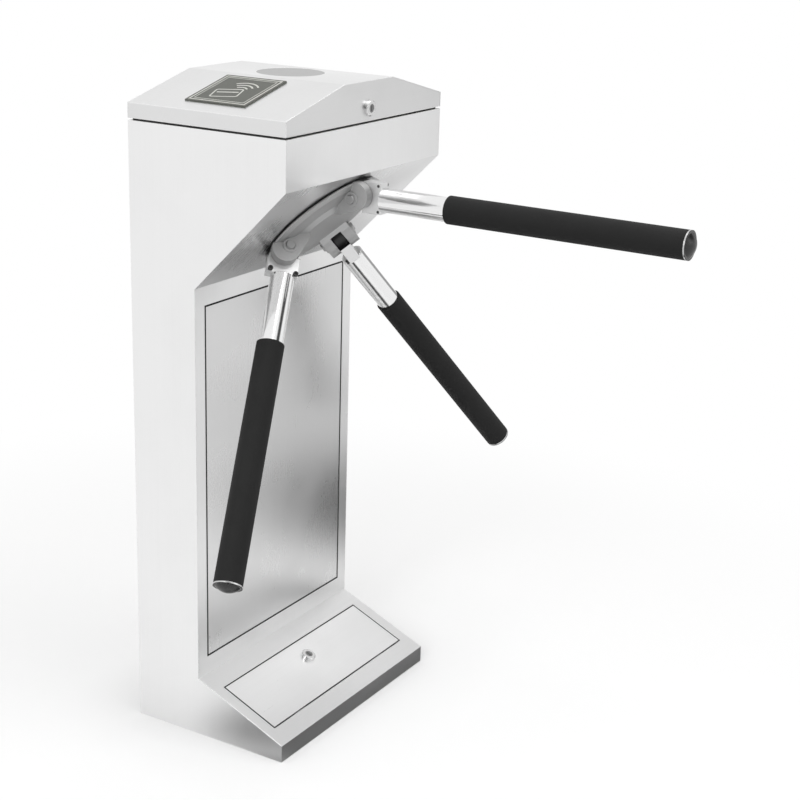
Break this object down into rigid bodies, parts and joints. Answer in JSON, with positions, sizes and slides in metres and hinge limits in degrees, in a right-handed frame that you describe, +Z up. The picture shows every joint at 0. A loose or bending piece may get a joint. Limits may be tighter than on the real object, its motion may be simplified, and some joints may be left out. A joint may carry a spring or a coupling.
{
  "type": "tripod turnstile",
  "caption": "Stainless pedestal turnstile with a tilted hub, drop arms with black sleeves, a card reader plaque in the lid and lockable service covers.",
  "frame": {"origin": "Centre of the cabinet's footprint on the floor, which is the centre of the four anchor bolts.", "axes": "+Z up; -Y faces the passage, where the arms stand; X runs along the walk, so people pass along X."},
  "size_m": [0.78, 0.7743, 0.98],
  "materials": {
    "stainless_panel": "brushed",
    "stainless_lid": "brushed",
    "cover_sheet": "brushed",
    "plated_steel": "zinc plated",
    "mechanism_steel": "satin",
    "hardened_steel": "ground",
    "cast_hub": "satin cast",
    "polished_tube": "polished",
    "sleeve_rubber": "matte",
    "end_cap": "polished",
    "lock_chrome": "polished",
    "seal_rubber": "matte",
    "plaque_dark": "gloss",
    "black_plastic": "matte",
    "lens_gray": "translucent grey",
    "board_green": "circuit board",
    "aluminium_case": "satin"
  },
  "bodies": {
    "root": {"base_plate": "plated_steel", "left_side_panel": "stainless_panel", "right_side_panel": "stainless_panel", "back_panel": "stainless_panel", "front_panel": "stainless_panel", "hub_face_panel": "stainless_panel", "recess_frame": "stainless_panel", "access_panel": "cover_sheet", "foot_frame": "stainless_panel", "rim_frame": "plated_steel", "lid_seal": "seal_rubber", "cabinet_fasteners": "plated_steel", "mechanism_brackets": "plated_steel", "mechanism_plate": "mechanism_steel", "bearing_housing": "aluminium_case", "shaft_bearings": "hardened_steel", "pillars_and_posts": "plated_steel", "rear_plate": "mechanism_steel", "damper_bracket": "plated_steel", "rotary_damper": "black_plastic", "solenoids": "mechanism_steel", "encoder_sensor": "black_plastic", "control_board": "board_green", "power_supply": "aluminium_case", "lid_hinge_fixed": "plated_steel"},
    "tripod": {"hub_body": "cast_hub", "main_shaft": "hardened_steel", "index_cam": "hardened_steel", "lock_disc": "hardened_steel", "encoder_disc": "black_plastic", "shaft_spacers": "plated_steel", "pivot_pins": "lock_chrome"},
    "lid": {"lid_shell": "stainless_lid", "reader_plaque": "plaque_dark", "reader_module": "black_plastic", "indicator_lens": "lens_gray", "lid_hinge_moving": "plated_steel", "lid_lock_barrel": "lock_chrome"},
    "lid_lock": {"lid_lock_plug": "lock_chrome"},
    "hatch": {"hatch_plate": "cover_sheet", "hatch_lock_barrel": "lock_chrome"},
    "hatch_lock": {"hatch_lock_plug": "lock_chrome"},
    "index_arm": {"index_lever": "hardened_steel"},
    "roller": {"index_roller": "hardened_steel"},
    "left_pawl": {"pawl_left": "hardened_steel"},
    "right_pawl": {"pawl_right": "hardened_steel"},
    "left_plunger": {"plunger_left": "plated_steel"},
    "right_plunger": {"plunger_right": "plated_steel"},
    "arm_1": {"arm_root_1": "cast_hub", "arm_tube_1": "polished_tube", "arm_sleeve_1": "sleeve_rubber", "arm_cap_1": "end_cap"},
    "arm_2": {"arm_root_2": "cast_hub", "arm_tube_2": "polished_tube", "arm_sleeve_2": "sleeve_rubber", "arm_cap_2": "end_cap"},
    "arm_3": {"arm_root_3": "cast_hub", "arm_tube_3": "polished_tube", "arm_sleeve_3": "sleeve_rubber", "arm_cap_3": "end_cap"}
  },
  "joints": [
    {"name": "tripod_spin", "type": "hinge", "parent": "root", "child": "tripod", "pos_m": [0, -0.057, 0.773], "axis": [0, -0.7071, -0.7071], "continuous": true},
    {"name": "arm_drop_1", "type": "hinge", "parent": "tripod", "child": "arm_1", "pos_m": [0, -0.12328, 0.81472], "axis": [1, 0, 0], "range_deg": [0, 90]},
    {"name": "arm_drop_2", "type": "hinge", "parent": "tripod", "child": "arm_2", "pos_m": [0.06614, -0.04228, 0.73372], "axis": [-0.5, 0.6124, -0.6124], "range_deg": [0, 45]},
    {"name": "arm_drop_3", "type": "hinge", "parent": "tripod", "child": "arm_3", "pos_m": [-0.06614, -0.04228, 0.73372], "axis": [-0.5, -0.6124, 0.6124], "range_deg": [0, 45]},
    {"name": "index_swing", "type": "hinge", "parent": "root", "child": "index_arm", "pos_m": [-0.062, 0.05826, 0.78926], "axis": [0, 0.7071, 0.7071], "range_deg": [0, 5.5]},
    {"name": "roller_spin", "type": "hinge", "parent": "index_arm", "child": "roller", "pos_m": [0, 0.04737, 0.78884], "axis": [0, -0.7071, -0.7071], "continuous": true},
    {"name": "left_pawl_swing", "type": "hinge", "parent": "root", "child": "left_pawl", "pos_m": [-0.07, -0.01457, 0.87199], "axis": [0, -0.7071, -0.7071], "range_deg": [0, 12]},
    {"name": "right_pawl_swing", "type": "hinge", "parent": "root", "child": "right_pawl", "pos_m": [0.07, -0.01457, 0.87199], "axis": [0, 0.7071, 0.7071], "range_deg": [0, 12]},
    {"name": "left_plunger_pull", "type": "slide", "parent": "root", "child": "left_plunger", "axis": [0, 0.7071, -0.7071], "range_m": [0, 0.0072]},
    {"name": "right_plunger_pull", "type": "slide", "parent": "root", "child": "right_plunger", "axis": [0, 0.7071, -0.7071], "range_m": [0, 0.0072]},
    {"name": "lid_open", "type": "hinge", "parent": "root", "child": "lid", "pos_m": [0, 0.1375, 0.922], "axis": [-1, 0, 0], "range_deg": [0, 85]},
    {"name": "lid_lock_turn", "type": "hinge", "parent": "lid", "child": "lid_lock", "pos_m": [0, -0.134, 0.942], "axis": [0, 1, 0], "range_deg": [0, 60]},
    {"name": "hatch_tilt", "type": "hinge", "parent": "root", "child": "hatch", "pos_m": [0, -0.10372, 0.03886], "axis": [1, 0, 0], "range_deg": [0, 70]},
    {"name": "hatch_lock_turn", "type": "hinge", "parent": "hatch", "child": "hatch_lock", "pos_m": [0, -0.04265, 0.06556], "axis": [0, -0.3889, 0.9213], "range_deg": [0, 90]}
  ],
  "couplings": [
    {"joint": "left_plunger_pull", "follows": "left_pawl_swing", "m_per_rad": 0.03437},
    {"joint": "right_plunger_pull", "follows": "right_pawl_swing", "m_per_rad": 0.03437}
  ]
}
